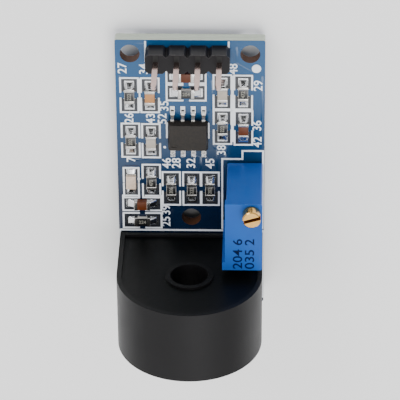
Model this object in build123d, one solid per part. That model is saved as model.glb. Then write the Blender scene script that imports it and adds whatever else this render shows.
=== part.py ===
from build123d import *
import os
from math import atan2, degrees, pi

os.makedirs("parts", exist_ok=True)

# A small alternating-current sensor module: a circuit board that carries a potted ring
# transformer, an amplifier, a multi-turn trimmer, a pin header and chip parts.
# Millimetres. X runs across the board, Y towards the header end, Z out of the component
# side. The origin is under the middle of the board, at the ends of the soldered tails.

# Board
board_thickness = 1.6
board_corner_radius = 0.25
side_margin = 0.15
rear_margin = 0.8
tail_drop = 1.4
corner_hole_radius = 1.2
corner_hole_inset_x = 1.8
corner_hole_inset_y = 1.88
middle_hole_radius = 1.2
middle_hole_gap = 1.0

# Transformer
transformer_depth = 9.6
transformer_face_row = 27.2
conductor_hole_radius = 2.3
case_straight_height = 0.9
case_wall = 0.6
case_rear_wall = 0.8
potting_recess = 0.3
case_foot_height = 0.3
case_foot_size = 0.9
core_radial_depth = 2.4
core_depth = 4.6
winding_build = 0.5
winding_corner = 0.3
winding_clearance = 0.5
resin_cover = 1.5
transformer_pin_radius = 0.35
transformer_pin_inset_x = 2.6
transformer_pin_inset_y = 2.2
transformer_pin_root = 1.3

# Header
header_pitch = 2.54
header_count = 4
header_row = 1.97
header_column = 8.8
header_block_depth = 2.54
header_block_height = 2.54
header_notch = 0.4
header_pin_width = 0.64
header_pin_rise = 5.9
header_pin_point = 0.5
header_pin_tip = 0.34

# Amplifier in an eight-lead package
amplifier_column = 8.75
amplifier_row = 12.7
amplifier_length = 4.9
amplifier_width = 3.9
amplifier_height = 1.45
amplifier_standoff = 0.15
amplifier_top_inset = 0.22
lead_pitch = 1.27
lead_width = 0.41
lead_thickness = 0.2
lead_span = 6.0
lead_foot = 0.65
lead_exit_height = 0.75
leads_per_side = 4
dimple_radius = 0.35
dimple_depth = 0.08
dimple_inset_x = 0.72
dimple_inset_y = 0.94

# Trimmer
trimmer_length = 9.4
trimmer_height = 10.03
trimmer_standoff = 0.35
trimmer_centre_row = 21.6
trimmer_chip_gap = 0.925
trimmer_edge_gap = 0.2
trimmer_wall = 0.45
trimmer_roof = 1.1
trimmer_lip = 0.15
trimmer_rim = 0.5
trimmer_rim_band = 1.1
trimmer_corner = 0.25
screw_head_radius = 1.1
screw_head_height = 1.5
screw_head_chamfer = 0.12
screw_inset = 1.3
screw_slot_width = 0.45
screw_slot_depth = 0.7
screw_slot_angle = 17.0
screw_shank_radius = 0.55
screw_worm_radius = 0.75
screw_clearance = 0.05
seal_section = 0.22
base_thickness = 0.8
rotor_radius = 2.8
rotor_thickness = 1.0
rotor_teeth = 28
rotor_tooth_depth = 0.3
rotor_height = 5.2
rotor_hub_radius = 0.7
wiper_radius = 1.5
wiper_rise = 0.3
running_gap = 0.05
element_thickness = 0.65
terminal_radius = 0.25
terminal_clearance = 0.5
terminal_pitch = 2.54
terminal_rise = 3.2

# Chip parts, all of one outline
chip_length = 2.0
chip_width = 1.25
resistor_height = 0.5
capacitor_height = 0.85
end_cap_length = 0.4
end_cap_skin = 0.03
last_column = 11.4
led_base_height = 0.3
led_lens_length = 1.25
led_lens_height = 0.5
led_lens_inset = 0.06

# Copper and solder
pad_thickness = 0.05
pad_reach = 1.0
pad_width = 1.45
pad_under = 0.55
foot_pad_width = 0.57
foot_pad_toe = 0.6
fillet_reach = 0.75
fillet_height = 0.42
fillet_toe = 0.04
fillet_side_margin = 0.05
fillet_bend_reach = 0.26
fillet_bend_height = 0.15
barrel_clearance = 0.17
ring_width = 0.4
cone_height = 1.05
cone_tip_margin = 0.02
cone_sides = 12

# Worked out from the sizes above: the cup holds the wound ring, and the trimmer its mechanism
core_inner_radius = conductor_hole_radius + case_wall + winding_clearance + winding_build
core_outer_radius = core_inner_radius + core_radial_depth
arch_radius = core_outer_radius + winding_build + resin_cover + case_wall
transformer_width = 2 * arch_radius
element_setback = screw_worm_radius + 4 * running_gap
terminal_room = terminal_clearance + 2 * terminal_radius
trimmer_width = trimmer_wall + terminal_room + element_thickness + element_setback + screw_inset
trimmer_column = last_column + pad_width / 2 + trimmer_chip_gap + trimmer_rim + trimmer_width / 2
parts_width = trimmer_column + trimmer_width / 2 + trimmer_edge_gap
board_width = max(transformer_width + 2 * side_margin, parts_width)
board_length = transformer_face_row + transformer_depth + rear_margin
header_end = board_length / 2
top = tail_drop + board_thickness
seat = top + pad_thickness


def row(distance):
    """Y of a place that lies this far from the header end of the board."""
    return header_end - distance


left_edge = -board_width / 2
corner_hole_x = board_width / 2 - corner_hole_inset_x
transformer_face = row(transformer_face_row)
transformer_rear = transformer_face - transformer_depth
transformer_middle = (transformer_face + transformer_rear) / 2
case_bottom = top + case_foot_height
conductor_z = top + case_straight_height + arch_radius
middle_hole_y = transformer_face + middle_hole_gap + middle_hole_radius
header_x = left_edge + header_column
amplifier_x = left_edge + amplifier_column
trimmer_x = left_edge + trimmer_column
trimmer_y = row(trimmer_centre_row)
trimmer_top = top + trimmer_height
trimmer_bottom = top + trimmer_standoff
screw_x = trimmer_x + trimmer_width / 2 - screw_inset
screw_y = trimmer_y + trimmer_length / 2 - screw_inset

# Chip places: name, distance of the column from the left edge, row, long side across
chip_resistors = [
    ("resistor_1", 1.65, 7.6, False),
    ("resistor_2", 8.55, 7.2, True),
    ("resistor_3", 15.45, 7.15, False),
    ("resistor_4", 12.95, 12.0, False),
    ("resistor_5", 1.7, 13.95, False),
    ("resistor_6", 4.15, 19.8, False),
    ("resistor_7", 2.95, 25.55, True),
    ("resistor_8", 6.6, 20.85, False),
    ("resistor_9", 9.15, 20.85, False),
    ("resistor_10", last_column, 20.85, False),
]
chip_capacitors = [
    ("capacitor_1", 4.15, 7.6, False),
    ("capacitor_2", 8.55, 4.8, True),
    ("capacitor_3", 12.95, 7.1, False),
    ("capacitor_4", 15.5, 12.1, False),
    ("capacitor_5", 4.2, 14.0, False),
    ("capacitor_6", 2.95, 23.0, True),
]
led_column = 1.65
led_row = 19.65


def save(solids, node):
    """Writes one node's solid, or its group of separate solids, to its own file."""
    shape = solids[0] if len(solids) == 1 else Compound(children=solids)
    export_step(shape, "parts/" + node + ".step")


def upright(centre_x, centre_y, low, high, radius):
    """A round bar that stands between two heights."""
    return Pos(centre_x, centre_y, (low + high) / 2) * Cylinder(radius, high - low)


def block(size_x, size_y, low, high, centre_x=0, centre_y=0):
    """A box that stands between two heights."""
    return Pos(centre_x, centre_y, (low + high) / 2) * Box(size_x, size_y, high - low)


def along_y(radius, centre_z, front, rear, centre_x=0):
    """A round bar along Y from a front face back to a rear face."""
    bar = Rot(90, 0, 0) * Cylinder(radius, front - rear)
    return Pos(centre_x, (front + rear) / 2, centre_z) * bar


def chip_place(column, chip_row, across):
    """Where a chip stands: its length runs along X when across, else along Y."""
    place = Pos(left_edge + column, row(chip_row), seat)
    return place if across else place * Rot(0, 0, 90)


# Through-hole places
header_places = []
for index in range(header_count):
    pin_x = header_x + (index - (header_count - 1) / 2) * header_pitch
    header_places.append((pin_x, row(header_row)))
transformer_places = []
for side_y in (transformer_face - transformer_pin_inset_y, transformer_rear + transformer_pin_inset_y):
    for side_x in (-1, 1):
        place_x = side_x * (transformer_width / 2 - transformer_pin_inset_x)
        transformer_places.append((place_x, side_y))
element_right = screw_x - element_setback
element_left = element_right - element_thickness
terminal_x = element_left - terminal_radius
terminal_places = []
for index in (-1, 0, 1):
    terminal_places.append((terminal_x, trimmer_y + index * terminal_pitch))
header_barrel = header_pin_width * 0.5 * 2 ** 0.5 + barrel_clearance
transformer_barrel = transformer_pin_radius + barrel_clearance
terminal_barrel = terminal_radius + barrel_clearance


def circuit_board():
    """The board, with its mounting holes and the holes for every tail."""
    outline = RectangleRounded(board_width, board_length, board_corner_radius)
    board = Pos(0, 0, tail_drop) * extrude(outline, board_thickness)
    holes = [(-corner_hole_x, row(corner_hole_inset_y), corner_hole_radius)]
    holes.append((corner_hole_x, row(corner_hole_inset_y), corner_hole_radius))
    holes.append((0, middle_hole_y, middle_hole_radius))
    holes += [(x, y, header_barrel) for x, y in header_places]
    holes += [(x, y, transformer_barrel) for x, y in transformer_places]
    holes += [(x, y, terminal_barrel) for x, y in terminal_places]
    for x, y, radius in holes:
        board -= upright(x, y, tail_drop, top, radius)
    return board


def header_block():
    """The moulded strip: one cell with cut corners for each pin."""
    half = header_pitch / 2
    deep = header_block_depth / 2
    cut = header_notch
    strip = None
    for x, y in header_places:
        corners = [(-half, -deep + cut), (-half + cut, -deep), (half - cut, -deep), (half, -deep + cut)]
        corners += [(half, deep - cut), (half - cut, deep), (-half + cut, deep), (-half, deep - cut)]
        cell = Pos(x, y, top) * extrude(make_face(Polyline(corners, close=True)), header_block_height)
        strip = cell if strip is None else strip + cell
    for x, y in header_places:
        strip -= block(header_pin_width, header_pin_width, top, top + header_block_height, x, y)
    return strip


def header_pin(x, y):
    """A square pin that narrows to a blunt point at each end."""
    high = top + header_block_height + header_pin_rise
    wide = Rectangle(header_pin_width, header_pin_width)
    blunt = Rectangle(header_pin_tip, header_pin_tip)
    pin = block(header_pin_width, header_pin_width, header_pin_point, high - header_pin_point, x, y)
    pin += loft([Pos(x, y, high - header_pin_point) * wide, Pos(x, y, high) * blunt])
    pin += loft([Pos(x, y, header_pin_point) * wide, Pos(x, y, 0) * blunt])
    return pin


def arch(radius, bottom, front, rear):
    """A D-shaped prism along Y: flat bottom, straight sides and a round top."""
    low = Pos(0, (front + rear) / 2, (bottom + conductor_z) / 2)
    body = low * Box(2 * radius, front - rear, conductor_z - bottom)
    return body + along_y(radius, conductor_z, front, rear)


def transformer_case():
    """The cup: open towards the header, with a tube around the conductor hole."""
    case = arch(arch_radius, case_bottom, transformer_face, transformer_rear)
    floor = transformer_rear + case_rear_wall
    hollow = arch(arch_radius - case_wall, case_bottom + case_wall, transformer_face, floor)
    hollow -= along_y(conductor_hole_radius + case_wall, conductor_z, transformer_face, floor)
    case -= hollow
    case -= along_y(conductor_hole_radius, conductor_z, transformer_face, transformer_rear)
    reach = arch_radius - case_foot_size / 2
    for side_x in (-reach, reach):
        for side_y in (transformer_face - case_foot_size / 2, transformer_rear + case_foot_size / 2):
            case += block(case_foot_size, case_foot_size, top, case_bottom + case_wall / 2, side_x, side_y)
    for x, y in transformer_places:
        case -= upright(x, y, case_bottom, case_bottom + case_wall, transformer_pin_radius)
    return case


core_rear = transformer_middle - core_depth / 2
core_front = transformer_middle + core_depth / 2


def transformer_core():
    """The ring that the winding goes round."""
    ring = along_y(core_outer_radius, conductor_z, core_front, core_rear)
    return ring - along_y(core_inner_radius, conductor_z, core_front, core_rear)


def winding_envelope():
    """The outside of the wound ring, with its long edges broken."""
    front = core_front + winding_build
    rear = core_rear - winding_build
    ring = along_y(core_outer_radius + winding_build, conductor_z, front, rear)
    ring -= along_y(core_inner_radius - winding_build, conductor_z, front, rear)
    return chamfer(ring.edges().filter_by(GeomType.CIRCLE), winding_corner)


def transformer_potting():
    """The resin that fills the cup around the wound ring."""
    floor = transformer_rear + case_rear_wall
    front = transformer_face - potting_recess
    fill = arch(arch_radius - case_wall, case_bottom + case_wall, front, floor)
    fill -= along_y(conductor_hole_radius + case_wall, conductor_z, front, floor)
    fill -= winding_envelope()
    for x, y in transformer_places:
        fill -= upright(x, y, case_bottom, case_bottom + transformer_pin_root, transformer_pin_radius)
    return fill


def amplifier_body():
    """The moulded package, drafted above and below its lead line."""
    low = seat + amplifier_standoff
    line = seat + lead_exit_height
    high = seat + amplifier_standoff + amplifier_height
    middle = Pos(amplifier_x, row(amplifier_row), line) * Rectangle(amplifier_length, amplifier_width)
    length = amplifier_length - 2 * amplifier_top_inset
    width = amplifier_width - 2 * amplifier_top_inset
    small = Rectangle(length, width)
    upper = loft([middle, Pos(amplifier_x, row(amplifier_row), high) * small])
    lower = loft([Pos(amplifier_x, row(amplifier_row), low) * small, middle])
    dimple_x = amplifier_x - amplifier_length / 2 + dimple_inset_x
    dimple_y = row(amplifier_row) - amplifier_width / 2 + dimple_inset_y
    return upper + lower - upright(dimple_x, dimple_y, high - dimple_depth, high, dimple_radius)


def amplifier_leads():
    """Eight gull-wing leads: out of the package, down, and flat on their pads."""
    inner = amplifier_width / 2
    outer = lead_span / 2
    bend = outer - lead_foot
    level = lead_exit_height + lead_thickness / 2
    half = lead_thickness / 2
    profile = [(inner, level - half), (bend - lead_thickness, level - half)]
    profile += [(bend, 0), (outer, 0), (outer, lead_thickness), (bend + half, lead_thickness)]
    profile += [(bend - half, level + half), (inner, level + half)]
    lead_face = make_face(Polyline(profile, close=True))
    leads = []
    for turn in (90, -90):
        for index in range(leads_per_side):
            shift = (index - (leads_per_side - 1) / 2) * lead_pitch
            place = Pos(amplifier_x + shift, row(amplifier_row), seat) * Rot(0, 0, turn)
            lead = place * Rot(90, 0, 0) * extrude(lead_face, lead_width / 2, both=True)
            leads.append(lead)
    return leads


seal_top = trimmer_top - trimmer_roof
seal_bottom = seal_top - seal_section
collar_top = seal_bottom
cavity_floor = trimmer_bottom + base_thickness


def trimmer_cavity(low, high):
    """The room inside the trimmer between two heights."""
    size_x = trimmer_width - 2 * trimmer_wall
    size_y = trimmer_length - 2 * trimmer_wall
    return block(size_x, size_y, low, high, trimmer_x, trimmer_y)


rotor_z = top + rotor_height
rotor_y = screw_y - screw_worm_radius - running_gap - rotor_radius


def across_x(radius, right, left):
    """A round bar along X through the rotor's axis."""
    bar = Rot(0, 90, 0) * Cylinder(radius, right - left)
    return Pos((right + left) / 2, rotor_y, rotor_z) * bar


def trimmer_housing():
    """The trimmer's shell, with a lip and a rear rim on its left side and a stub for the rotor."""
    shell = block(trimmer_width, trimmer_length, trimmer_bottom, trimmer_top, trimmer_x, trimmer_y)
    shell = fillet(shell.edges().filter_by(Axis.Z), trimmer_corner)
    left = trimmer_x - trimmer_width / 2
    lip_low = trimmer_top - trimmer_rim_band
    shell += block(2 * trimmer_lip, trimmer_length, lip_low, trimmer_top, left, trimmer_y)
    rear = trimmer_y - (trimmer_length - trimmer_rim_band) / 2
    shell += block(2 * trimmer_rim, trimmer_rim_band, trimmer_bottom, trimmer_top, left, rear)
    shell -= trimmer_cavity(trimmer_bottom, seal_top)
    shell -= upright(screw_x, screw_y, seal_top, trimmer_top, screw_shank_radius + screw_clearance)
    wall = trimmer_x + trimmer_width / 2 - trimmer_wall
    shell += across_x(rotor_hub_radius, wall, screw_x - rotor_thickness / 2)
    return shell


def trimmer_base():
    """The plate that closes the trimmer below, with a hole for each terminal."""
    plate = trimmer_cavity(trimmer_bottom, cavity_floor)
    for x, y in terminal_places:
        plate -= upright(x, y, trimmer_bottom, cavity_floor, terminal_radius)
    return plate


def trimmer_screw():
    """The slotted brass screw: head, shank, collar and worm in one turned piece."""
    foot = cavity_floor + running_gap
    head_top = trimmer_top + screw_head_height
    screw = upright(screw_x, screw_y, trimmer_top + running_gap, head_top, screw_head_radius)
    screw = chamfer(screw.edges().group_by(Axis.Z)[-1], screw_head_chamfer)
    screw += upright(screw_x, screw_y, foot, trimmer_top + running_gap, screw_shank_radius)
    screw += upright(screw_x, screw_y, foot, collar_top - running_gap, screw_worm_radius)
    slot = Box(2 * screw_head_radius, screw_slot_width, screw_slot_depth)
    slot_z = head_top - screw_slot_depth / 2
    return screw - Pos(screw_x, screw_y, slot_z) * Rot(0, 0, screw_slot_angle) * slot


def trimmer_seal():
    """The ring that keeps dirt out around the shank."""
    outer = screw_shank_radius + screw_clearance + seal_section
    ring = upright(screw_x, screw_y, seal_bottom, seal_top, outer)
    return ring - upright(screw_x, screw_y, seal_bottom, seal_top, screw_shank_radius + screw_clearance)


def trimmer_rotor():
    """The toothed wheel that the worm turns, with its raised wiper ring."""
    root = rotor_radius - rotor_tooth_depth
    left = screw_x - rotor_thickness / 2
    wheel = across_x(root, left + rotor_thickness, left)
    step = 360 / rotor_teeth
    tooth_width = pi * rotor_radius / rotor_teeth
    tooth = Box(rotor_thickness, 2 * rotor_tooth_depth, tooth_width)
    centre = Pos(screw_x, rotor_y, rotor_z)
    for index in range(rotor_teeth):
        wheel += centre * Rot(index * step, 0, 0) * Pos(0, rotor_radius - rotor_tooth_depth, 0) * tooth
    wheel += across_x(wiper_radius, left, left - wiper_rise)
    return wheel - across_x(rotor_hub_radius + running_gap, left + rotor_thickness, left - wiper_rise)


def trimmer_element():
    """The ceramic plate with the resistance track."""
    size_y = trimmer_length - 2 * trimmer_wall
    middle = (element_left + element_right) / 2
    return block(element_thickness, size_y, cavity_floor, seal_top, middle, trimmer_y)


def chip(column, chip_row, across, height):
    """A ceramic chip with a thin metal skin wrapped around each end."""
    body = block(chip_length - 2 * end_cap_skin, chip_width - 2 * end_cap_skin, end_cap_skin,
                 height - end_cap_skin)
    for side in (-1, 1):
        centre = side * (chip_length - end_cap_length) / 2
        body += block(end_cap_length, chip_width, 0, height, centre)
    return chip_place(column, chip_row, across) * body


def led_base():
    """The lamp's carrier with its end contacts."""
    carrier = block(chip_length, chip_width, 0, led_base_height)
    return chip_place(led_column, led_row, False) * carrier


def led_lens():
    """The clear block over the lamp's die, narrowed a little towards its top."""
    low = Rectangle(led_lens_length, chip_width)
    high = Rectangle(led_lens_length - 2 * led_lens_inset, chip_width - 2 * led_lens_inset)
    lens = loft([Pos(0, 0, led_base_height) * low, Pos(0, 0, led_base_height + led_lens_height) * high])
    return chip_place(led_column, led_row, False) * lens


all_chips = chip_resistors + chip_capacitors + [("led", led_column, led_row, False)]


def pads():
    """The copper lands under the chips and the amplifier's feet."""
    pieces = []
    reach = pad_reach + pad_under
    for name, column, chip_row, across in all_chips:
        for side in (-1, 1):
            centre = side * (chip_length / 2 - pad_under + reach / 2)
            land = block(reach, pad_width, -pad_thickness, 0, centre)
            pieces.append(chip_place(column, chip_row, across) * land)
    foot_reach = lead_foot + foot_pad_toe
    for side in (-1, 1):
        for index in range(leads_per_side):
            x = amplifier_x + (index - (leads_per_side - 1) / 2) * lead_pitch
            y = row(amplifier_row) + side * (lead_span / 2 - lead_foot + foot_reach / 2)
            pieces.append(block(foot_pad_width, foot_reach, top, seat, x, y))
    return pieces


def surface_solder():
    """The solder that climbs each chip's end from its land."""
    pieces = []
    profile = [(0, 0), (fillet_reach, 0), (fillet_reach, fillet_toe)]
    profile += [(fillet_bend_reach, fillet_bend_height), (0, fillet_height)]
    half_width = chip_width / 2 - fillet_side_margin
    wedge = extrude(make_face(Polyline(profile, close=True)), half_width, both=True)
    wedge = Rot(90, 0, 0) * wedge
    climb = led_base_height / fillet_height
    for name, column, chip_row, across in all_chips:
        height = climb if name == "led" else 1
        for turn in (0, 180):
            piece = Rot(0, 0, turn) * Pos(chip_length / 2, 0, 0) * scale(wedge, (1, 1, height))
            pieces.append(chip_place(column, chip_row, across) * piece)
    return pieces


def joint(x, y, tail, barrel):
    """One through-hole joint: the filled hole and the cone below it around the tail."""
    fill = upright(x, y, tail_drop, top, barrel)
    land = RegularPolygon(barrel + ring_width, cone_sides)
    slope = degrees(atan2(ring_width - cone_tip_margin, cone_height))
    cone = extrude(land, cone_height, dir=(0, 0, -1), taper=slope)
    fill += Pos(x, y, tail_drop) * cone
    return fill - tail


def underside_solder():
    """Every through-hole joint of the board."""
    pieces = []
    for x, y in header_places:
        tail = block(header_pin_width, header_pin_width, 0, top, x, y)
        pieces.append(joint(x, y, tail, header_barrel))
    for x, y in transformer_places:
        pieces.append(joint(x, y, upright(x, y, 0, top, transformer_pin_radius), transformer_barrel))
    for x, y in terminal_places:
        pieces.append(joint(x, y, upright(x, y, 0, top, terminal_radius), terminal_barrel))
    return pieces


save([circuit_board()], "circuit_board")
save(pads(), "solder_pads")
save(surface_solder(), "surface_solder")
save(underside_solder(), "underside_solder")
save([header_block()], "header_block")
for index, (x, y) in enumerate(header_places):
    save([header_pin(x, y)], "header_pin_" + str(index + 1))
save([transformer_case()], "transformer_case")
save([transformer_potting()], "transformer_potting")
save([transformer_core()], "transformer_core")
save([winding_envelope() - transformer_core()], "transformer_winding")
for index, (x, y) in enumerate(transformer_places):
    pin = upright(x, y, 0, case_bottom + transformer_pin_root, transformer_pin_radius)
    save([pin], "transformer_pin_" + str(index + 1))
save([amplifier_body()], "amplifier_body")
save(amplifier_leads(), "amplifier_leads")
save([trimmer_housing()], "trimmer_housing")
save([trimmer_base()], "trimmer_base")
save([trimmer_screw()], "trimmer_screw")
save([trimmer_seal()], "trimmer_seal")
save([trimmer_rotor()], "trimmer_rotor")
save([trimmer_element()], "trimmer_element")
for index, (x, y) in enumerate(terminal_places):
    lead = upright(x, y, 0, top + terminal_rise, terminal_radius)
    save([lead], "trimmer_terminal_" + str(index + 1))
for name, column, chip_row, across in chip_resistors:
    save([chip(column, chip_row, across, resistor_height)], name)
for name, column, chip_row, across in chip_capacitors:
    save([chip(column, chip_row, across, capacitor_height)], name)
save([led_base()], "led_base")
save([led_lens()], "led_lens")
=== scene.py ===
import bpy
import bmesh
import math
from mathutils import Matrix, Vector


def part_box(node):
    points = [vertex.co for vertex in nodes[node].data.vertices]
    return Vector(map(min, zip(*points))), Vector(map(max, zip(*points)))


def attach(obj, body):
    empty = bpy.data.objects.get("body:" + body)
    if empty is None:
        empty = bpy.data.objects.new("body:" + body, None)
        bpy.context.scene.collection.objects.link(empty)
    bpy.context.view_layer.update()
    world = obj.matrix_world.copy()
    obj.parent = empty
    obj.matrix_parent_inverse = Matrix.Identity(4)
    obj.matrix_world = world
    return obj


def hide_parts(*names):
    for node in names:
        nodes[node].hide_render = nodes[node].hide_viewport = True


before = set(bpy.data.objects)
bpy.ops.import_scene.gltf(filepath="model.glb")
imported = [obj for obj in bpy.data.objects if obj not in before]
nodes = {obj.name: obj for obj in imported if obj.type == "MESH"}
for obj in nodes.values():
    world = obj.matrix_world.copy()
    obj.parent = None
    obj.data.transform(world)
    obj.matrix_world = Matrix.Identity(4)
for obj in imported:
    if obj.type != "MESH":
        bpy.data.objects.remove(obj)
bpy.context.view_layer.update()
mm = 0.001
boardLow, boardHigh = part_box("circuit_board")
boardTop = boardHigh.z
headerEnd = boardHigh.y  # rows are counted from this edge, as on the drawing
print("frame loaded")


class Signal:
    # wraps an output socket, so that sums written on it become Math nodes
    def __init__(self, recipe, socket):
        self.recipe = recipe
        self.socket = socket

    def join(self, kind, first, second):
        return self.recipe.node("ShaderNodeMath", {"operation": kind}, {0: first, 1: second})

    def __add__(self, other):
        return self.join("ADD", self, other)

    def __sub__(self, other):
        return self.join("SUBTRACT", self, other)

    def __rsub__(self, other):
        return self.join("SUBTRACT", other, self)

    def __mul__(self, other):
        return self.join("MULTIPLY", self, other)

    def __gt__(self, other):
        return self.join("GREATER_THAN", self, other)

    def __lt__(self, other):
        return self.join("LESS_THAN", self, other)

    __radd__ = __add__
    __rmul__ = __mul__


class Recipe:
    # a tree of shader nodes, built node by node
    def __init__(self, tree):
        self.tree = tree

    def node(self, kind, settings=None, inputs=None, output=0):
        made = self.tree.nodes.new(kind)
        for key, value in (settings or {}).items():
            setattr(made, key, value)
        for key, value in (inputs or {}).items():
            if isinstance(value, Signal):
                self.tree.links.new(value.socket, made.inputs[key])
            else:
                made.inputs[key].default_value = value
        return Signal(self, made.outputs[output])

    def place(self):
        return self.node("ShaderNodeTexCoord", output=3)  # object space, in metres

    def noise(self, grainMm, detail=3.0, rough=0.5):
        inputs = {"Vector": self.place(), "Scale": 1 / (grainMm * mm), "Detail": detail, "Roughness": rough}
        return self.node("ShaderNodeTexNoise", {}, inputs)

    def axis(self, vector, index):
        return self.node("ShaderNodeSeparateXYZ", {}, {0: vector}, index)

    def blend(self, factor, first, second):
        values = {0: factor, 6: first, 7: second}
        return self.node("ShaderNodeMix", {"data_type": "RGBA"}, values, 2)

    def ramp(self, value, limitsMm):
        # 0 to 1 between two lengths, with soft ends
        values = {0: value, 1: limitsMm[0] * mm, 2: limitsMm[1] * mm}
        return self.node("ShaderNodeMapRange", {"interpolation_type": "SMOOTHSTEP"}, values)

    def toward(self, ahead, aim, cosines):
        # 1 towards a side of the room and 0 away from it, between two cosines
        values = {0: ahead, 1: Vector(aim).normalized()}
        cosine = self.node("ShaderNodeVectorMath", {"operation": "DOT_PRODUCT"}, values, 1)
        values = {0: cosine, 1: cosines[0], 2: cosines[1]}
        return self.node("ShaderNodeMapRange", {"interpolation_type": "SMOOTHSTEP"}, values)


# what the finishes share: the gloss of a coat, the paler edges of wear and painted highlight (their reach
# and the cosines where they start and are full), how far gloss swings, and how deep a grain is as a share
# of its size
finishLook = {"coatRoughness": 0.08, "edgeReach": 0.07, "edgeSamples": 4, "edgeCosines": (0.99, 0.8),
              "glossSwing": 0.06, "mouldedDepth": 0.25, "metalDepth": 0.3}


class Finish(Recipe):
    # one material: a Principled shader and the nodes that feed it
    def __init__(self, name, colour, roughness, metallic=0.0, coat=0.0):
        self.material = bpy.data.materials.new(name)
        self.material.use_nodes = True
        super().__init__(self.material.node_tree)
        self.shader = self.tree.nodes["Principled BSDF"]
        self.shader.inputs["Base Color"].default_value = (*colour, 1)
        self.shader.inputs["Roughness"].default_value = roughness
        self.shader.inputs["Metallic"].default_value = metallic
        self.shader.inputs["Coat Weight"].default_value = coat
        self.shader.inputs["Coat Roughness"].default_value = finishLook["coatRoughness"]

    def paint(self, signal, socket="Base Color"):
        self.tree.links.new(signal.socket, self.shader.inputs[socket])

    def bump(self, height, strength, depthMm):
        values = {"Height": height, "Strength": strength, "Distance": depthMm * mm}
        self.paint(self.node("ShaderNodeBump", {}, values), "Normal")

    def facing(self, index):
        # how far the face looks along one axis
        return self.axis(self.node("ShaderNodeNewGeometry", output=1), index)

    def edges(self):
        # 1 along the edges, where a rounded normal leaves the face's own one
        reach = {"Radius": finishLook["edgeReach"] * mm}
        rounded = self.node("ShaderNodeBevel", {"samples": finishLook["edgeSamples"]}, reach)
        own = self.node("ShaderNodeNewGeometry", output=1)
        cosine = self.node("ShaderNodeVectorMath", {"operation": "DOT_PRODUCT"}, {0: rounded, 1: own}, 1)
        start, whole = finishLook["edgeCosines"]
        return self.node("ShaderNodeMapRange", {}, {0: cosine, 1: start, 2: whole})


def rgb(red, green, blue):
    # screen colour, 0 to 255, to the linear values that the shader takes
    return tuple(((c / 255 + 0.055) / 1.055) ** 2.4 if c > 10 else c / 3294 for c in (red, green, blue))


def full(colour):
    return (*colour, 1.0)


# a plain moulded or fired surface: two close colours, paler edges of wear and painted highlight, and a fine
# grain
def moulded(name, look):
    made = Finish(name, look["colour"], look["roughness"], coat=look.get("coat", 0.0))
    made.shader.inputs["Specular IOR Level"].default_value = look.get("shine", 0.5)
    cloud = made.noise(look["patchMm"], 4)
    base = made.blend(cloud, full(look["colour"]), full(look["second"]))
    # paler edges: partly wear, partly a painted highlight
    made.paint(made.blend(made.edges() * look["wearAndHighlight"], base, full(look["wornAndHighlit"])))
    swing = finishLook["glossSwing"]
    made.paint(look["roughness"] - swing + cloud * (2 * swing), "Roughness")
    made.bump(made.noise(look["grainMm"], 5), look["bump"], look["grainMm"] * finishLook["mouldedDepth"])
    return made.material


# metal: a little tarnish in patches, fine scratches and uneven gloss
def metal(name, look):
    made = Finish(name, look["colour"], look["roughness"], 1.0)
    cloud = made.noise(look["patchMm"], 5, 0.6)
    made.paint(made.blend(cloud, full(look["colour"]), full(look["second"])))
    made.paint(look["roughness"] + made.noise(look["grainMm"], 3) * look["spread"], "Roughness")
    made.bump(made.noise(look["grainMm"], 4, 0.7), look["bump"], look["grainMm"] * finishLook["metalDepth"])
    return made.material


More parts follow.
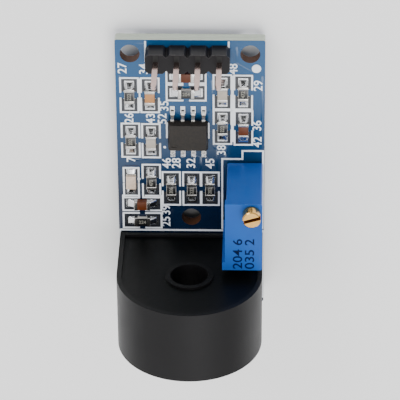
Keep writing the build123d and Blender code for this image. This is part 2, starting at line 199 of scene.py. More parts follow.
looks = {
    "headerBlack": {"colour": rgb(30, 28, 30), "second": rgb(22, 21, 23), "wornAndHighlit": rgb(96, 92, 94),
                    "wearAndHighlight": 0.8, "roughness": 0.36, "patchMm": 1.5, "grainMm": 0.08, "bump": 0.25,
                    "shine": 0.14},
    # a paler look for the header's rounded edges: a painted highlight
    "headerEdgeHighlight": {"colour": rgb(74, 70, 72), "second": rgb(56, 53, 55), "wornAndHighlit": rgb(96, 92, 94),
                   "wearAndHighlight": 0.3, "roughness": 0.4, "patchMm": 0.8, "grainMm": 0.06, "bump": 0.2},
    "resinBlack": {"colour": rgb(5, 6, 6), "second": rgb(3, 4, 4), "wornAndHighlit": rgb(14, 14, 15),
                   "wearAndHighlight": 0.1, "roughness": 0.4, "patchMm": 3.0, "grainMm": 0.6, "bump": 0.12,
                   "shine": 0.16},
    "packageGrey": {"colour": rgb(40, 33, 26), "second": rgb(14, 13, 12), "wornAndHighlit": rgb(60, 54, 50),
                    "wearAndHighlight": 0.4, "roughness": 0.5, "patchMm": 0.25, "grainMm": 0.12, "bump": 0.6,
                    "shine": 0.3},
    "trimmerBlue": {"colour": rgb(4, 84, 168), "second": rgb(0, 72, 154), "wornAndHighlit": rgb(48, 128, 206),
                    "wearAndHighlight": 0.45, "roughness": 0.34, "patchMm": 2.5, "grainMm": 0.15, "bump": 0.16,
                    "shine": 0.25},
    # a paler look for the trimmer's rounded edges: a painted highlight
    "trimmerEdgeHighlight": {"colour": rgb(34, 114, 194), "second": rgb(14, 94, 178), "wornAndHighlit": rgb(66, 144, 214),
                    "wearAndHighlight": 0.3, "roughness": 0.34, "patchMm": 0.8, "grainMm": 0.1, "bump": 0.15},
    "trimmerInk": {"colour": rgb(0, 16, 52), "second": rgb(0, 24, 66), "wornAndHighlit": rgb(20, 60, 120),
                   "wearAndHighlight": 0.1, "roughness": 0.55, "patchMm": 0.3, "grainMm": 0.05, "bump": 0.2,
                   "shine": 0.1},
    "resistorBlack": {"colour": rgb(16, 16, 18), "second": rgb(10, 10, 11), "wornAndHighlit": rgb(50, 50, 52),
                      "wearAndHighlight": 0.4, "roughness": 0.3, "patchMm": 0.4, "grainMm": 0.05, "bump": 0.2,
                      "coat": 0.4, "shine": 0.4},
    "chipInk": {"colour": rgb(150, 148, 138), "second": rgb(116, 114, 104), "wornAndHighlit": rgb(170, 168, 160),
                "wearAndHighlight": 0.2, "roughness": 0.5, "patchMm": 0.15, "grainMm": 0.05, "bump": 0.2},
    "capacitorBrown": {"colour": rgb(98, 44, 6), "second": rgb(70, 28, 2), "wornAndHighlit": rgb(150, 96, 52),
                       "wearAndHighlight": 0.4, "roughness": 0.4, "patchMm": 0.5, "grainMm": 0.05, "bump": 0.25,
                       "shine": 0.3},
    "capacitorTan": {"colour": rgb(186, 130, 74), "second": rgb(164, 108, 56), "wornAndHighlit": rgb(226, 200, 170),
                     "wearAndHighlight": 0.3, "roughness": 0.4, "patchMm": 0.5, "grainMm": 0.05, "bump": 0.25},
    "capacitorPale": {"colour": rgb(180, 172, 158), "second": rgb(158, 148, 136),
                      "wornAndHighlit": rgb(220, 214, 206), "wearAndHighlight": 0.3, "roughness": 0.42, "patchMm": 0.5,
                      "grainMm": 0.05, "bump": 0.25},
    "milkyLens": {"colour": rgb(238, 216, 196), "second": rgb(168, 140, 116), "wornAndHighlit": rgb(244, 236, 228),
                  "wearAndHighlight": 0.3, "roughness": 0.28, "patchMm": 0.2, "grainMm": 0.12, "bump": 0.2,
                  "coat": 0.5},
    "whiteCeramic": {"colour": rgb(226, 222, 214), "second": rgb(208, 203, 194),
                     "wornAndHighlit": rgb(240, 238, 232), "wearAndHighlight": 0.3, "roughness": 0.45, "patchMm": 0.6,
                     "grainMm": 0.05, "bump": 0.2},
    "silkWhite": {"colour": rgb(246, 249, 252), "second": rgb(226, 232, 240), "wornAndHighlit": rgb(250, 250, 252),
                  "wearAndHighlight": 0.2, "roughness": 0.5, "patchMm": 0.6, "grainMm": 0.05, "bump": 0.2},
    "sealBlack": {"colour": rgb(12, 12, 12), "second": rgb(8, 8, 8), "wornAndHighlit": rgb(20, 20, 20),
                  "wearAndHighlight": 0.2, "roughness": 0.7, "patchMm": 0.5, "grainMm": 0.1, "bump": 0.2},
}
metals = {
    "solder": {"colour": rgb(240, 241, 242), "second": rgb(206, 208, 212), "roughness": 0.05,
               "spread": 0.1, "patchMm": 0.8, "grainMm": 0.35, "bump": 0.2},
    "tinned": {"colour": rgb(206, 204, 200), "second": rgb(158, 156, 154), "roughness": 0.12,
               "spread": 0.14, "patchMm": 0.5, "grainMm": 0.12, "bump": 0.15},
    "pinPlate": {"colour": rgb(204, 180, 174), "second": rgb(172, 148, 142), "roughness": 0.12,
                 "spread": 0.1, "patchMm": 1.0, "grainMm": 0.15, "bump": 0.08},
    "copper": {"colour": rgb(190, 112, 72), "second": rgb(160, 84, 50), "roughness": 0.3,
               "spread": 0.2, "patchMm": 0.8, "grainMm": 0.3, "bump": 0.4},
    "coreMetal": {"colour": rgb(120, 116, 110), "second": rgb(90, 88, 84), "roughness": 0.4,
                  "spread": 0.2, "patchMm": 1.0, "grainMm": 0.1, "bump": 0.3},
}
paint = {name: moulded(name, look) for name, look in looks.items()}
paint.update({name: metal(name, look) for name, look in metals.items()})


# the board: blue mask on both faces, painted darker towards the cup as a painted reflection, laminate on
# the cut edges and a browner wall in the holes
boardLook = {"mask": rgb(4, 72, 118), "deep": rgb(3, 25, 52), "edge": rgb(192, 200, 186),
             "fibre": rgb(150, 160, 146), "wall": rgb(84, 48, 24), "roughness": 0.2, "coat": 0.35,
             "shine": 0.4, "cloudMm": 5.0, "weaveMm": 0.35, "darkenRate": 2.3, "darkenStart": -0.35,
             "cloudShare": 0.2, "weaveShare": 0.06, "evenOut": 0.13, "cutRim": 0.3,
             "layerScale": 900.0, "layerWaver": 3.0, "cutRoughness": 0.62, "maskSmoother": 0.44,
             "weaveRoughness": 0.05, "bump": 0.12, "bumpMm": 0.08}


def boardFinish():
    look = boardLook
    made = Finish("boardMask", look["mask"], look["roughness"], coat=look["coat"])
    made.shader.inputs["Specular IOR Level"].default_value = look["shine"]
    here = made.place()
    cloud = made.noise(look["cloudMm"], 3)
    weave = made.noise(look["weaveMm"], 2)
    # painted reflection: the mask is painted darker from the header's edge towards the cup, with random
    # cloud and weave mixed in
    length = made.axis(here, 1)
    away = (boardHigh.y - length) * (1 / (boardHigh.y - boardLow.y))
    rate = {0: away, 1: look["darkenRate"], 2: look["darkenStart"]}
    paintedReflectionRamp = made.node("ShaderNodeMath", {"operation": "MULTIPLY_ADD", "use_clamp": True}, rate)
    reflectionAndCloud = paintedReflectionRamp + cloud * look["cloudShare"] + weave * look["weaveShare"] - look["evenOut"]
    mask = made.blend(reflectionAndCloud, full(look["mask"]), full(look["deep"]))
    upward = made.facing(2)
    flat = (upward * upward) > 0.5
    across = made.axis(here, 0)
    rimX = (across * across) > (boardHigh.x - look["cutRim"] * mm) ** 2
    rimY = (length * length) > (boardHigh.y - look["cutRim"] * mm) ** 2
    rim = rimX.join("MAXIMUM", rimX, rimY)
    waver = {"Vector": here, "Scale": look["layerScale"], "Distortion": look["layerWaver"], "Detail": 3.0}
    layers = made.node("ShaderNodeTexWave", {"bands_direction": "Z"}, waver)
    cut = made.blend(layers, full(look["edge"]), full(look["fibre"]))
    side = made.blend(rim, full(look["wall"]), cut)
    made.paint(made.blend(flat, side, mask))
    rough = look["cutRoughness"] - flat * look["maskSmoother"] + weave * look["weaveRoughness"]
    made.paint(rough, "Roughness")
    made.bump(weave + cloud, look["bump"], look["bumpMm"])
    return made.material


# the mask round the lands, which looks nearly black; plain is the colour without its nodes
darkMaskLook = {"plain": rgb(30, 34, 42), "colour": rgb(34, 38, 46), "second": rgb(20, 24, 32),
                "plainRoughness": 0.25, "roughness": 0.22, "spread": 0.14, "coat": 0.3,
                "patchMm": 0.8, "bump": 0.2, "bumpMm": 0.05}


def darkMaskFinish():
    look = darkMaskLook
    made = Finish("bareMask", look["plain"], look["plainRoughness"], coat=look["coat"])
    cloud = made.noise(look["patchMm"], 4)
    made.paint(made.blend(cloud, full(look["colour"]), full(look["second"])))
    made.paint(look["roughness"] + cloud * look["spread"], "Roughness")
    made.bump(cloud, look["bump"], look["bumpMm"])
    return made.material


# turned brass, with painted shade darkening its slot
screwLook = {"colour": rgb(240, 196, 116), "second": rgb(206, 152, 76), "slot": rgb(112, 62, 22),
             "rim": 0.08, "slotStart": 0.1, "slotShare": 0.9, "slotRough": 0.4, "roughness": 0.16,
             "spread": 0.1, "patchMm": 0.8, "grainMm": 0.12, "bump": 0.2, "bumpMm": 0.02}


def screwFinish():
    look = screwLook
    made = Finish("brassScrew", look["colour"], look["roughness"], 1.0)
    low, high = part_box("trimmer_screw")
    here = made.place()
    x = made.axis(here, 0) - (low.x + high.x) / 2
    y = made.axis(here, 1) - (low.y + high.y) / 2
    inner = (x * x + y * y) < ((high.x - low.x) / 2 - look["rim"] * mm) ** 2
    slot = inner * (made.axis(here, 2) < high.z - look["slotStart"] * mm)
    cloud = made.noise(look["patchMm"], 5)
    brassTone = made.blend(cloud, full(look["colour"]), full(look["second"]))
    # painted shade: the slot's floor and inner walls, below the top, are painted dark brown
    made.paint(made.blend(slot * look["slotShare"], brassTone, full(look["slot"])))
    made.paint(look["roughness"] + slot * look["slotRough"] + cloud * look["spread"], "Roughness")
    made.bump(made.noise(look["grainMm"], 4), look["bump"], look["bumpMm"])
    return made.material


# the cup: satin outside, and as dark as its resin on the open face
caseLook = {"colour": rgb(14, 13, 15), "second": rgb(9, 8, 10), "wornAndHighlit": rgb(40, 39, 43), "wearAndHighlight": 0.3,
            "roughness": 0.46, "glossSwing": 0.05, "patchMm": 4.0, "grainMm": 0.12, "bump": 0.35,
            "bumpMm": 0.03, "shine": 0.21, "frontCosine": 0.8}


def caseFinish():
    look = caseLook
    made = Finish("caseMoulding", look["colour"], look["roughness"])
    made.shader.inputs["Specular IOR Level"].default_value = look["shine"]
    cloud = made.noise(look["patchMm"], 4)
    front = made.facing(1) > look["frontCosine"]
    base = made.blend(cloud, full(look["colour"]), full(look["second"]))
    # paler edges: partly wear, partly a painted highlight
    wornAndHighlit = made.blend(made.edges() * look["wearAndHighlight"], base, full(look["wornAndHighlit"]))
    made.paint(made.blend(front, wornAndHighlit, full(looks["resinBlack"]["colour"])))
    made.paint(look["roughness"] - look["glossSwing"] + cloud * (2 * look["glossSwing"]), "Roughness")
    made.bump(made.noise(look["grainMm"], 5), look["bump"], look["bumpMm"])
    return made.material


paint["boardMask"] = boardFinish()
paint["brassScrew"] = screwFinish()
paint["caseMoulding"] = caseFinish()
paint["bareMask"] = darkMaskFinish()
print("materials made:", len(paint))


def newPiece(name, mesh, materials, body="module", stands=()):
    piece = bpy.data.objects.new(name, mesh)
    bpy.context.scene.collection.objects.link(piece)
    for material in materials:
        mesh.materials.append(paint[material])
    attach(piece, body)
    if stands:
        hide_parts(*stands)


def fromWork(work, name):
    mesh = bpy.data.meshes.new(name)
    bmesh.ops.recalc_face_normals(work, faces=work.faces)
    work.to_mesh(mesh)
    work.free()
    return mesh


roundProfile = 0.6  # how full a rounded edge is: 0.5 is a plain arc


# a box with rounded edges, added to a mesh that is being made
def addBlock(work, centre, size, rounding, turn=0.0, slotIndex=0, segments=2):
    made = bmesh.ops.create_cube(work, size=1.0)
    place = Matrix.Translation(centre) @ Matrix.Rotation(turn, 4, "Z") @ Matrix.Diagonal((*size, 1))
    bmesh.ops.transform(work, matrix=place, verts=made["verts"])
    faces = {f for v in made["verts"] for f in v.link_faces}
    for face in faces:  # set first, because the rounding makes its faces from these
        face.material_index = slotIndex
        face.smooth = rounding > 0
    if rounding > 0:
        edges = list({e for f in faces for e in f.edges})
        bmesh.ops.bevel(work, geom=edges, offset=rounding, segments=segments, profile=roundProfile,
                        affect="EDGES", clamp_overlap=True, material=-1)


# a place on the board, from its row and its distance from the middle line in mm
def boardPoint(x, row, lift=0.0):
    return Vector((x * mm, headerEnd - row * mm, boardTop + lift * mm))


# the chips: place from the CAD box, so that they stand where the board's lands are
def chipBox(node):
    low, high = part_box(node)
    size = high - low
    return {"low": low, "high": high, "centre": (low + high) / 2, "size": size, "across": size.x > size.y}


capColour = {"capacitor_1": "capacitorTan", "capacitor_3": "capacitorPale", "capacitor_5": "capacitorPale"}
chipLook = {"endCap": 0.42, "rounding": 0.06, "inset": 0.035, "bodyLap": 0.1, "glazeInset": 0.06,
            "smallRounding": 0.03}


def chipPiece(node):
    box = chipBox(node)
    centre = box["centre"]
    size = box["size"]
    resistor = node.startswith("resistor")
    length = max(size.x, size.y)
    width = min(size.x, size.y)
    turn = 0.0 if box["across"] else math.pi / 2
    along = Matrix.Rotation(turn, 4, "Z")
    work = bmesh.new()
    inset = chipLook["inset"] * mm
    lap = chipLook["bodyLap"] * mm
    body = (length - 2 * chipLook["endCap"] * mm + lap, width - 2 * inset, size.z - 2 * inset)
    small = chipLook["smallRounding"] * mm
    if resistor:  # white ceramic underneath and a black glaze on top
        addBlock(work, centre - Vector((0, 0, inset)), body, small, turn, 2)
        glaze = (body[0] - lap, body[1] - chipLook["glazeInset"] * mm, inset * 2)
        addBlock(work, Vector((centre.x, centre.y, box["high"].z - inset)), glaze, small, turn, 0)
    else:
        addBlock(work, centre, body, chipLook["rounding"] * mm, turn, 0)
    for side in (-1, 1):
        shift = along @ Vector((side * (length - chipLook["endCap"] * mm) / 2, 0, 0))
        cap = (chipLook["endCap"] * mm, width, size.z)
        addBlock(work, centre + shift, cap, chipLook["rounding"] * mm, turn, 1, 3)
    first = "resistorBlack" if resistor else capColour.get(node, "capacitorBrown")
    name = node.replace("_", "Chip_")
    newPiece(name, fromWork(work, name), [first, "tinned", "whiteCeramic"], stands=(node,))


chipNodes = sorted(n for n in nodes if n.startswith(("resistor_", "capacitor_")))
for node in chipNodes:
    chipPiece(node)
print("chips made:", len(chipNodes))


# the indicator: a white carrier with metal ends and a milky block, the short land at its far end, and
# the printed frame and the mask that lie round it; shares are of the CAD box, the rest is in mm
ledLook = {"carrierWide": 0.97, "carrierLong": 0.8, "carrierRounding": 0.03, "endCap": 0.34,
           "capRounding": 0.05, "blockWide": 0.98, "blockLong": 1.86, "blockRounding": 0.12,
           "farReach": 0.62, "farEnd": 1.64, "coverEnd": 2.08, "coverWide": 1.62, "coverHeight": 0.059,
           "frameShift": 0.4, "frameWide": 1.85, "frameLong": 4.3, "frameGap": 0.3}


def ledPieces():
    box = chipBox("led_base")
    centre = box["centre"]
    size = box["size"]
    work = bmesh.new()
    carrier = (size.x * ledLook["carrierWide"], size.y * ledLook["carrierLong"], size.z)
    addBlock(work, centre, carrier, ledLook["carrierRounding"] * mm, 0, 0)
    cap = (size.x, ledLook["endCap"] * mm, size.z)
    for side in (-1, 1):
        endY = centre.y + side * (size.y - ledLook["endCap"] * mm) / 2
        addBlock(work, Vector((centre.x, endY, centre.z)), cap, ledLook["capRounding"] * mm, 0, 1)
    newPiece("ledCarrier", fromWork(work, "ledCarrier"), ["whiteCeramic", "tinned"],
             stands=("led_base",))
    box = chipBox("led_lens")
    work = bmesh.new()
    block = (box["size"].x * ledLook["blockWide"], ledLook["blockLong"] * mm, box["size"].z)
    addBlock(work, box["centre"], block, ledLook["blockRounding"] * mm, 0, 0, 4)
    newPiece("ledLens", fromWork(work, "ledLens"), ["milkyLens"], stands=("led_lens",))


ledPieces()


# solder: each chip's land carries a mound that climbs its end in a hollow curve
solderLook = {"reach": 0.8, "width": 1.14, "climb": 0.44, "chipShare": 0.85, "columns": 12,
              "rowsAcross": 12, "cornerCut": 0.16, "sidePower": 4, "endPower": 6, "hollow": 1.1,
              "slope": 0.86, "foot": 0.14}
samePoint = 1e-7  # metres between points that count as one
noHeight = 1e-9  # metres below which the outline already lies on the land


def addMound(work, origin, outward, height, reachMm):
    sideways = Vector((-outward.y, outward.x, 0))
    columns = solderLook["columns"]
    rows = solderLook["rowsAcross"]
    reach = reachMm * mm
    width = solderLook["width"] * mm
    grid = []
    for i in range(columns + 1):
        u = i / columns
        line = []
        for j in range(rows + 1):
            v = 2 * j / rows - 1
            corner = 1 - solderLook["cornerCut"] * u * u  # the outer corners are a little rounded
            fall = (1 - v ** solderLook["sidePower"]) * (1 - u ** solderLook["endPower"])
            dome = max(0.0, fall) ** 0.5
            curve = solderLook["slope"] * (1 - u) ** solderLook["hollow"] + solderLook["foot"]
            lift = height * curve * dome
            flat = origin + outward * (u * reach) + sideways * (v * width / 2 * corner)
            line.append(work.verts.new(flat + Vector((0, 0, max(lift, 0.0)))))
        grid.append(line)
    for i in range(columns):
        for j in range(rows):
            face = work.faces.new((grid[i][j], grid[i + 1][j], grid[i + 1][j + 1], grid[i][j + 1]))
            face.smooth = True
    # round the mound's outline, and straight down from it to the land
    ring = [grid[i][0] for i in range(columns + 1)]
    ring += [grid[columns][j] for j in range(1, rows + 1)]
    ring += [grid[i][rows] for i in range(columns - 1, -1, -1)]
    ring += [grid[0][j] for j in range(rows - 1, 0, -1)]
    foot = [work.verts.new((v.co.x, v.co.y, origin.z)) for v in ring]
    for k in range(len(ring)):
        n = (k + 1) % len(ring)
        if (ring[k].co - foot[k].co).length + (ring[n].co - foot[n].co).length > noHeight:
            work.faces.new((ring[k], ring[n], foot[n], foot[k]))
    work.faces.new(foot)


def solderMounds():
    work = bmesh.new()
    for node in chipNodes + ["led_base"]:
        box = chipBox(node)
        centre = box["centre"]
        size = box["size"]
        outward = Vector((1, 0, 0)) if box["across"] else Vector((0, 1, 0))
        half = max(size.x, size.y) / 2
        height = min(size.z * solderLook["chipShare"], solderLook["climb"] * mm)
        for side in (-1, 1):
            start = Vector((centre.x, centre.y, box["low"].z)) + outward * side * half
            short = node == "led_base" and side > 0
            reach = ledLook["farReach"] if short else solderLook["reach"]
            addMound(work, start, outward * side, height, reach)
    bmesh.ops.remove_doubles(work, verts=work.verts, dist=samePoint)
    newPiece("solderMounds", fromWork(work, "solderMounds"), ["solder"],
             stands=("surface_solder",))


solderMounds()
print("solder made")


# white print on the board: boxes round the chips, lines, bars and dots, in mm from the middle line
# and the header's edge
printLook = {"line": 0.22, "lift": 0.064, "sink": 0.004, "step": 0.0005, "steps": 9, "dotSides": 28,
             "boxWide": 2.16, "boxLong": 4.74, "gap": 0.9}
printLines = [
    (-5.37, 0.25, -5.37, 2.9), (4.66, 0.25, 4.66, 2.9),  # beside the header
    (-2.9, 11.5, -2.9, 13.5), (2.2, 11.5, 2.2, 13.5),  # beside the amplifier
    (3.85, 16.52, 3.85, 26.6), (3.85, 16.52, 6.34, 16.52), (6.34, 16.52, 6.34, 15.35),
    (6.34, 15.35, 8.88, 15.35), (8.88, 15.35, 8.88, 26.6),  # round the trimmer
    (-8.9, 26.95, 8.9, 26.95), (-8.92, 26.95, -8.92, 36.9), (8.92, 26.95, 8.92, 36.9),  # round the cup
]
printBars = [(5.1, 5.0, 5.1, 13.9, 0.34), (3.0, 9.5, 7.4, 9.5, 0.3), (-6.15, 5.4, -6.15, 9.7, 0.2)]
printDots = [(8.0, 3.83, 0.56), (-3.2, 14.9, 0.17), (-6.45, 19.5, 0.2)]


def addStrip(work, x0, row0, x1, row1, width=printLook["line"]):
    # each strip is a hair thicker than the last one, so that crossing tops never share a plane
    stripsSoFar = len(work.verts) // 8  # eight corners to each
    thick = printLook["lift"] + printLook["step"] * (stripsSoFar % printLook["steps"])
    wide = width * mm
    a = boardPoint(x0, row0)
    b = boardPoint(x1, row1)
    run = b - a
    turn = math.atan2(run.y, run.x)
    centre = (a + b) / 2 + Vector((0, 0, (thick - printLook["sink"]) / 2 * mm))
    size = (run.length + wide, wide, (thick + printLook["sink"]) * mm)
    addBlock(work, centre, size, 0.0, turn)


def addDot(work, x, row, radius):
    low = Vector((0, 0, -printLook["sink"] * mm))
    made = bmesh.ops.create_circle(work, cap_ends=True, segments=printLook["dotSides"], radius=radius * mm)
    bmesh.ops.translate(work, verts=made["verts"], vec=boardPoint(x, row) + low)
    faces = list({f for v in made["verts"] for f in v.link_faces})
    grown = bmesh.ops.extrude_face_region(work, geom=faces)
    moved = [g for g in grown["geom"] if isinstance(g, bmesh.types.BMVert)]
    bmesh.ops.translate(work, verts=moved, vec=(0, 0, (printLook["lift"] + printLook["sink"]) * mm))


def addFrame(work, x, row, across, wide, long, gap):
    # a box round a chip, open for a moment in the middle of its long sides
    halfWide = wide / 2
    halfLong = long / 2
    ends = []
    for side in (-1, 1):
        ends.append(((-halfWide, side * halfLong), (halfWide, side * halfLong)))
        ends.append(((side * halfWide, -halfLong), (side * halfWide, -gap / 2)))
        ends.append(((side * halfWide, gap / 2), (side * halfWide, halfLong)))
    for (ax, ay), (bx, by) in ends:
        if across:
            ax, ay, bx, by = ay, ax, by, bx
        addStrip(work, x + ax, row + ay, x + bx, row + by)


def chipSpot(node):
    box = chipBox(node)
    return box["centre"].x / mm, (headerEnd - box["centre"].y) / mm, box["across"]


def boardPrint():
    work = bmesh.new()
    for node in chipNodes:
        x, row, across = chipSpot(node)
        addFrame(work, x, row, across, printLook["boxWide"], printLook["boxLong"], printLook["gap"])
    x, row, across = chipSpot("led_base")
    addFrame(work, x, row + ledLook["frameShift"], across, ledLook["frameWide"], ledLook["frameLong"],
             ledLook["frameGap"])
    for strip in printLines + printBars:
        addStrip(work, *strip)
    for dot in printDots:
        addDot(work, *dot)
    newPiece("boardPrint", fromWork(work, "boardPrint"), ["silkWhite"])


boardPrint()


# plain numbers, each with its height and thickness in mm and its turn in degrees; the places on the
# board are in mm, and those on the trimmer are shares of its top
numberLook = {"thickness": 0.008, "swell": 0.012, "lift": 0.004}
boardNumberLook = {"height": 1.5, "turn": 90, "stretch": 1.0}
boardNumbers = [
    ("27", -8.15, 3.9), ("34", -5.56, 4.0), ("48", 5.23, 3.9), ("29", 8.26, 6.2), ("36", 8.15, 11.8),
    ("42", 8.2, 14.1), ("38", 3.8, 15.3), ("26", -7.45, 10.85), ("43", -4.82, 10.85), ("52", -3.4, 10.9),
    ("35", -3.15, 9.1), ("7", -7.32, 16.75), ("46", -2.95, 17.2), ("28", -1.76, 17.2), ("32", 0.05, 17.2),
    ("45", 2.4, 17.2), ("39", -3.1, 24.02), ("25", -3.12, 25.7),
]
chipNumberLook = {"height": 0.64, "turn": 90, "stretch": 0.95}
chipNumbers = ("222", "202", "204", "472", "222", "202", "470", "224", "206", "222")
trimmerNumberLook = {"height": 1.6, "turn": 90, "stretch": 1.2, "alongShare": 0.25}
trimmerNumbers = (("204 6", 0.4), ("035 2", 0.7))


# text set as a curve and turned into a mesh
def numberMesh(text, height):
    curve = bpy.data.curves.new("number", "FONT")
    curve.body = text
    curve.size = height * mm
    curve.extrude = numberLook["thickness"] * mm
    curve.offset = numberLook["swell"] * height * mm
    curve.align_x = "CENTER"
    curve.align_y = "CENTER"
    holder = bpy.data.objects.new("number", curve)
    mesh = bpy.data.meshes.new_from_object(holder)
    bpy.data.objects.remove(holder)
    return mesh


def numberPiece(name, marks, look, material):
    work = bmesh.new()
    for text, place, turn in marks:
        mesh = numberMesh(text, look["height"])
        mesh.transform(Matrix.Translation(place) @ Matrix.Rotation(math.radians(turn), 4, "Z")
                       @ Matrix.Diagonal((look["stretch"], 1, 1, 1)))
        work.from_mesh(mesh)
        bpy.data.meshes.remove(mesh)
    mesh = bpy.data.meshes.new(name)
    work.to_mesh(mesh)
    work.free()
    newPiece(name, mesh, [material])


def boardMarks():
    turn = boardNumberLook["turn"]
    return [(text, boardPoint(x, row, numberLook["lift"]), turn) for text, x, row in boardNumbers]


def chipMarks():
    found = []
    for node, text in zip(sorted(n for n in chipNodes if n.startswith("resistor")), chipNumbers):
        box = chipBox(node)
        place = Vector((box["centre"].x, box["centre"].y, box["high"].z + numberLook["lift"] * mm))
        found.append((text, place, 0 if box["across"] else chipNumberLook["turn"]))
    return found


def trimmerMarks():
    low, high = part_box("trimmer_housing")
    y = low.y + (high.y - low.y) * trimmerNumberLook["alongShare"]
    found = []
    for text, share in trimmerNumbers:
        place = Vector((low.x + (high.x - low.x) * share, y, high.z + numberLook["lift"] * mm))
        found.append((text, place, trimmerNumberLook["turn"]))
    return found


numberPiece("boardNumbers", boardMarks(), boardNumberLook, "silkWhite")
numberPiece("resistorNumbers", chipMarks(), chipNumberLook, "chipInk")
numberPiece("trimmerNumbers", trimmerMarks(), trimmerNumberLook, "trimmerInk")
print("print made")


# dark mask round the lands of the chips and the lamp, which laps a little over their long rims
patchLook = {"wide": 1.9, "inner": 0.5, "outer": 2.28, "rim": 0.36, "rimHeight": 0.058,
             "flatHeight": 0.006}


def maskPatches():
    work = bmesh.new()
    rimShift = (patchLook["wide"] - patchLook["rim"]) / 2
    bands = [(0.0, patchLook["wide"], patchLook["flatHeight"])]
    bands += [(side * rimShift, patchLook["rim"], patchLook["rimHeight"]) for side in (-1, 1)]
    for node in chipNodes + ["led_base"]:
        x, row, across = chipSpot(node)
        for side in (-1, 1):
            outer = ledLook["farEnd"] if node == "led_base" and side < 0 else patchLook["outer"]
            middle = (patchLook["inner"] + outer) / 2
            reach = (outer - patchLook["inner"]) * mm
            for aside, wide, height in bands:
                if across:
                    place = boardPoint(x + side * middle, row + aside, height / 2)
                    size = (reach, wide * mm, height * mm)
                else:
                    place = boardPoint(x + aside, row + side * middle, height / 2)
                    size = (wide * mm, reach, height * mm)
                addBlock(work, place, size, 0.0)
    newPiece("maskPatches", fromWork(work, "maskPatches"), ["bareMask"])


# blue mask over the far end of the lamp's upper land, which is shorter than the others
def maskCover():
    work = bmesh.new()
    x, row = chipSpot("led_base")[:2]
    middle = (ledLook["farEnd"] + ledLook["coverEnd"]) / 2
    length = (ledLook["coverEnd"] - ledLook["farEnd"]) * mm
    size = (ledLook["coverWide"] * mm, length, ledLook["coverHeight"] * mm)
    addBlock(work, boardPoint(x, row - middle, ledLook["coverHeight"] / 2), size, 0.0)
    newPiece("maskCover", fromWork(work, "maskCover"), ["boardMask"])


# copper tracks that show through the mask as low ridges
trackLook = {"width": 0.3, "height": 0.016, "step": 0.002, "rounding": 0.004, "lap": 0.7}
tracks = [
    [(-6.2, 12.6), (-5.4, 11.6), (-5.4, 10.4)], [(1.6, 16.1), (2.4, 17.0), (2.4, 18.2)],
    [(0.3, 16.1), (1.2, 16.4), (1.2, 18.6)], [(-1.0, 9.2), (-1.0, 8.6), (0.6, 8.4)],
    [(2.7, 14.6), (3.2, 15.3), (3.2, 18.0)], [(2.2, 9.9), (2.6, 9.4), (2.6, 5.6), (1.4, 3.8)],
    [(-8.6, 16.8), (-6.3, 16.8), (-3.6, 16.0)], [(-3.4, 23.2), (-2.4, 24.0), (-2.4, 26.4)],
    [(3.2, 24.0), (3.2, 19.5), (4.4, 16.0), (4.4, 14.9)], [(-8.55, 5.0), (-8.55, 12.0), (-8.7, 16.0)],
    [(8.7, 5.0), (8.7, 13.6)], [(5.6, 1.0), (5.6, 3.2), (7.6, 4.4)], [(-6.9, 0.6), (-4.6, 0.6)],
]


def boardTracks():
    work = bmesh.new()
    width = trackLook["width"]
    for route in tracks:
        for order, ((x0, row0), (x1, row1)) in enumerate(zip(route, route[1:])):
            a = boardPoint(x0, row0)
            b = boardPoint(x1, row1)
            run = b - a
            height = trackLook["height"] + trackLook["step"] * (order % 2)  # bends never share a plane
            size = (run.length + width * trackLook["lap"] * mm, width * mm, height * mm)
            addBlock(work, (a + b) / 2, size, trackLook["rounding"] * mm, math.atan2(run.y, run.x))
    newPiece("boardTracks", fromWork(work, "boardTracks"), ["boardMask"])


# dark patches in front of each pin, on top of the header's strip: a painted reflection of the pins
pinReflectionLook = {"wide": 0.62, "long": 0.84, "thick": 0.012}


def pinReflectionPatches():
    work = bmesh.new()
    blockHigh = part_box("header_block")[1]
    reflectionPatch = (pinReflectionLook["wide"] * mm, pinReflectionLook["long"] * mm, pinReflectionLook["thick"] * mm)
    for index in range(1, 5):
        low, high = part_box("header_pin_" + str(index))
        # painted reflection: a thin dark patch on the block's top, just in front of the pin
        place = Vector(((low.x + high.x) / 2, high.y + reflectionPatch[1] / 2, blockHigh.z))
        addBlock(work, place, reflectionPatch, 0.0)
    newPiece("pinReflectionPatches", fromWork(work, "pinReflectionPatches"), ["sealBlack"])


maskPatches()
maskCover()
boardTracks()
pinReflectionPatches()
print("board detail made")


# finishes of the CAD nodes that stay, and the rounding of their edges in mm
nodeFinish = {
    "circuit_board": ("boardMask", 0.05), "solder_pads": ("solder", 0.0),
    "underside_solder": ("solder", 0.0),
    "header_block": ("headerBlack", 0.06), "transformer_case": ("caseMoulding", 0.12),
    "transformer_potting": ("resinBlack", 0.0), "transformer_core": ("coreMetal", 0.0),
    "transformer_winding": ("copper", 0.0), "amplifier_body": ("packageGrey", 0.04),
    "amplifier_leads": ("tinned", 0.03), "trimmer_housing": ("trimmerBlue", 0.1),
    "trimmer_base": ("trimmerBlue", 0.0), "trimmer_screw": ("brassScrew", 0.04),
    "trimmer_seal": ("sealBlack", 0.0), "trimmer_rotor": ("whiteCeramic", 0.0),
    "trimmer_element": ("whiteCeramic", 0.0),
}
for index in range(1, 5):
    nodeFinish["header_pin_" + str(index)] = ("pinPlate", 0.04)
    nodeFinish["transformer_pin_" + str(index)] = ("tinned", 0.0)
for index in range(1, 4):
    nodeFinish["trimmer_terminal_" + str(index)] = ("tinned", 0.0)
# paler materials on the rounded edges of the header and the trimmer: painted highlights
edgeHighlight = {"header_block": "headerEdgeHighlight", "trimmer_housing": "trimmerEdgeHighlight"}
roundingLook = {"segments": 3, "leastAngle": 35}


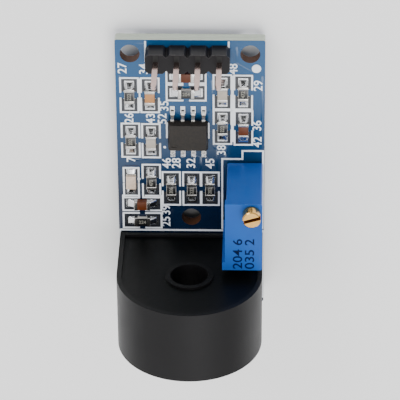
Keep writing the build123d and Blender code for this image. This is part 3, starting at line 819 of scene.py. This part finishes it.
def finishNode(node, finish, rounding):
    piece = nodes[node]
    piece.data.materials.clear()
    piece.data.materials.append(paint[finish])
    for polygon in piece.data.polygons:
        polygon.use_smooth = True
    if rounding:
        bevel = piece.modifiers.new("rounding", "BEVEL")
        bevel.width = rounding * mm
        bevel.segments = roundingLook["segments"]
        bevel.limit_method = "ANGLE"
        bevel.angle_limit = math.radians(roundingLook["leastAngle"])
        bevel.harden_normals = False
        if node in edgeHighlight:  # the rounded edge gets a paler material: a painted highlight
            piece.data.materials.append(paint[edgeHighlight[node]])
            bevel.material = 1
    weighted = piece.modifiers.new("shading", "WEIGHTED_NORMAL")
    weighted.keep_sharp = True


for node, (finish, rounding) in nodeFinish.items():
    finishNode(node, finish, rounding)
print("nodes finished:", len(nodeFinish))


# the floor, with the board's own shade on it, which shows through the holes and deepens towards the
# cup: it fades in between two distances in mm from the sides, the header's edge and the far row
floorLook = {"size": 2.0, "paper": rgb(250, 250, 250), "roughness": 0.7, "shade": rgb(20, 20, 24),
             "sideFade": (0.2, 0.9), "endFade": (1.0, 2.6), "farRow": 32.0, "farFade": (0.0, 5.5),
             "near": 0.4, "rise": 0.52}


def paperFloor():
    work = bmesh.new()
    bmesh.ops.create_grid(work, x_segments=2, y_segments=2, size=floorLook["size"])
    mesh = bpy.data.meshes.new("floor")
    work.to_mesh(mesh)
    work.free()
    floor = bpy.data.objects.new("floor", mesh)
    bpy.context.scene.collection.objects.link(floor)
    finish = Finish("floorPaper", floorLook["paper"], floorLook["roughness"])
    mesh.materials.append(finish.material)
    here = finish.place()
    x = finish.axis(here, 0)
    y = finish.axis(here, 1)
    aside = finish.node("ShaderNodeMath", {"operation": "ABSOLUTE"}, {0: x})
    farEdge = headerEnd - floorLook["farRow"] * mm
    inside = finish.ramp(boardHigh.x - aside, floorLook["sideFade"])
    inside = inside * finish.ramp(headerEnd - y, floorLook["endFade"])
    inside = inside * finish.ramp(y - farEdge, floorLook["farFade"])
    away = (boardHigh.y - y) * (1 / (boardHigh.y - boardLow.y))
    shade = inside * (away * floorLook["rise"] + floorLook["near"])
    finish.paint(finish.blend(shade, full(floorLook["paper"]), full(floorLook["shade"])))


# the room: even light, brighter on one side, with a dark panel that the glossy tops mirror
roomLook = {"level": 0.8, "rise": 0.9, "brightSide": (-0.1, -0.6, 0.8), "brightCosines": (0.2, 0.9),
            "darkPanel": (0.03, 0.5, 0.866), "darkCosines": (0.955, 0.975), "darkShare": 0.95}


def studioRoom():
    world = bpy.data.worlds.new("studio")
    bpy.context.scene.world = world
    world.use_nodes = True
    recipe = Recipe(world.node_tree)
    ahead = recipe.node("ShaderNodeTexCoord", output=0)
    bright = recipe.toward(ahead, roomLook["brightSide"], roomLook["brightCosines"])
    dark = recipe.toward(ahead, roomLook["darkPanel"], roomLook["darkCosines"])
    level = (bright * roomLook["rise"] + roomLook["level"]) * (1 - dark * roomLook["darkShare"])
    background = world.node_tree.nodes["Background"]
    world.node_tree.links.new(level.socket, background.inputs["Strength"])
    background.inputs["Color"].default_value = (1, 1, 1, 1)


lights = [
    {"name": "softTop", "place": (0.1, -0.05, 0.5), "aim": (0, 0, 0), "size": 0.35, "power": 1.6},
    {"name": "softFront", "place": (-0.3, 0.4, 0.35), "aim": (0, 0, 0.005), "size": 0.25, "power": 1.0},
]


def addLight(look):
    data = bpy.data.lights.new(look["name"], "AREA")
    data.size = look["size"]
    data.energy = look["power"]
    light = bpy.data.objects.new(look["name"], data)
    light.location = look["place"]
    light.rotation_euler = (Vector(look["aim"]) - Vector(look["place"])).to_track_quat("-Z", "Y").to_euler()
    bpy.context.scene.collection.objects.link(light)


# the camera, fitted to the photograph: angles in degrees, lengths in mm, except the clips in metres
cameraLook = {"tilt": 31.96, "turn": 2.62, "roll": 2.69, "distance": 320.0, "focus": 234.38,
              "aimX": 1.17, "aimRow": 20.66, "aimLift": 3.0, "sensor": 36.0, "clips": (0.01, 10.0)}


def photoCamera():
    tilt, turn, roll = (math.radians(cameraLook[k]) for k in ("tilt", "turn", "roll"))
    back = Vector((math.sin(turn) * math.sin(tilt), math.cos(turn) * math.sin(tilt), math.cos(tilt)))
    level = Vector((math.cos(turn), -math.sin(turn), 0))
    rise = back.cross(level)
    right = math.cos(roll) * level + math.sin(roll) * rise
    up = math.cos(roll) * rise - math.sin(roll) * level
    data = bpy.data.cameras.new("photoCamera")
    data.sensor_width = cameraLook["sensor"]
    data.lens = cameraLook["focus"]
    data.clip_start, data.clip_end = cameraLook["clips"]
    camera = bpy.data.objects.new("photoCamera", data)
    aim = boardPoint(cameraLook["aimX"], cameraLook["aimRow"], cameraLook["aimLift"])
    place = aim + back * cameraLook["distance"] * mm
    camera.matrix_world = Matrix.Translation(place) @ Matrix((right, up, back)).transposed().to_4x4()
    bpy.context.scene.collection.objects.link(camera)
    bpy.context.scene.camera = camera


paperFloor()
studioRoom()
for look in lights:
    addLight(look)
photoCamera()
print("stage made")
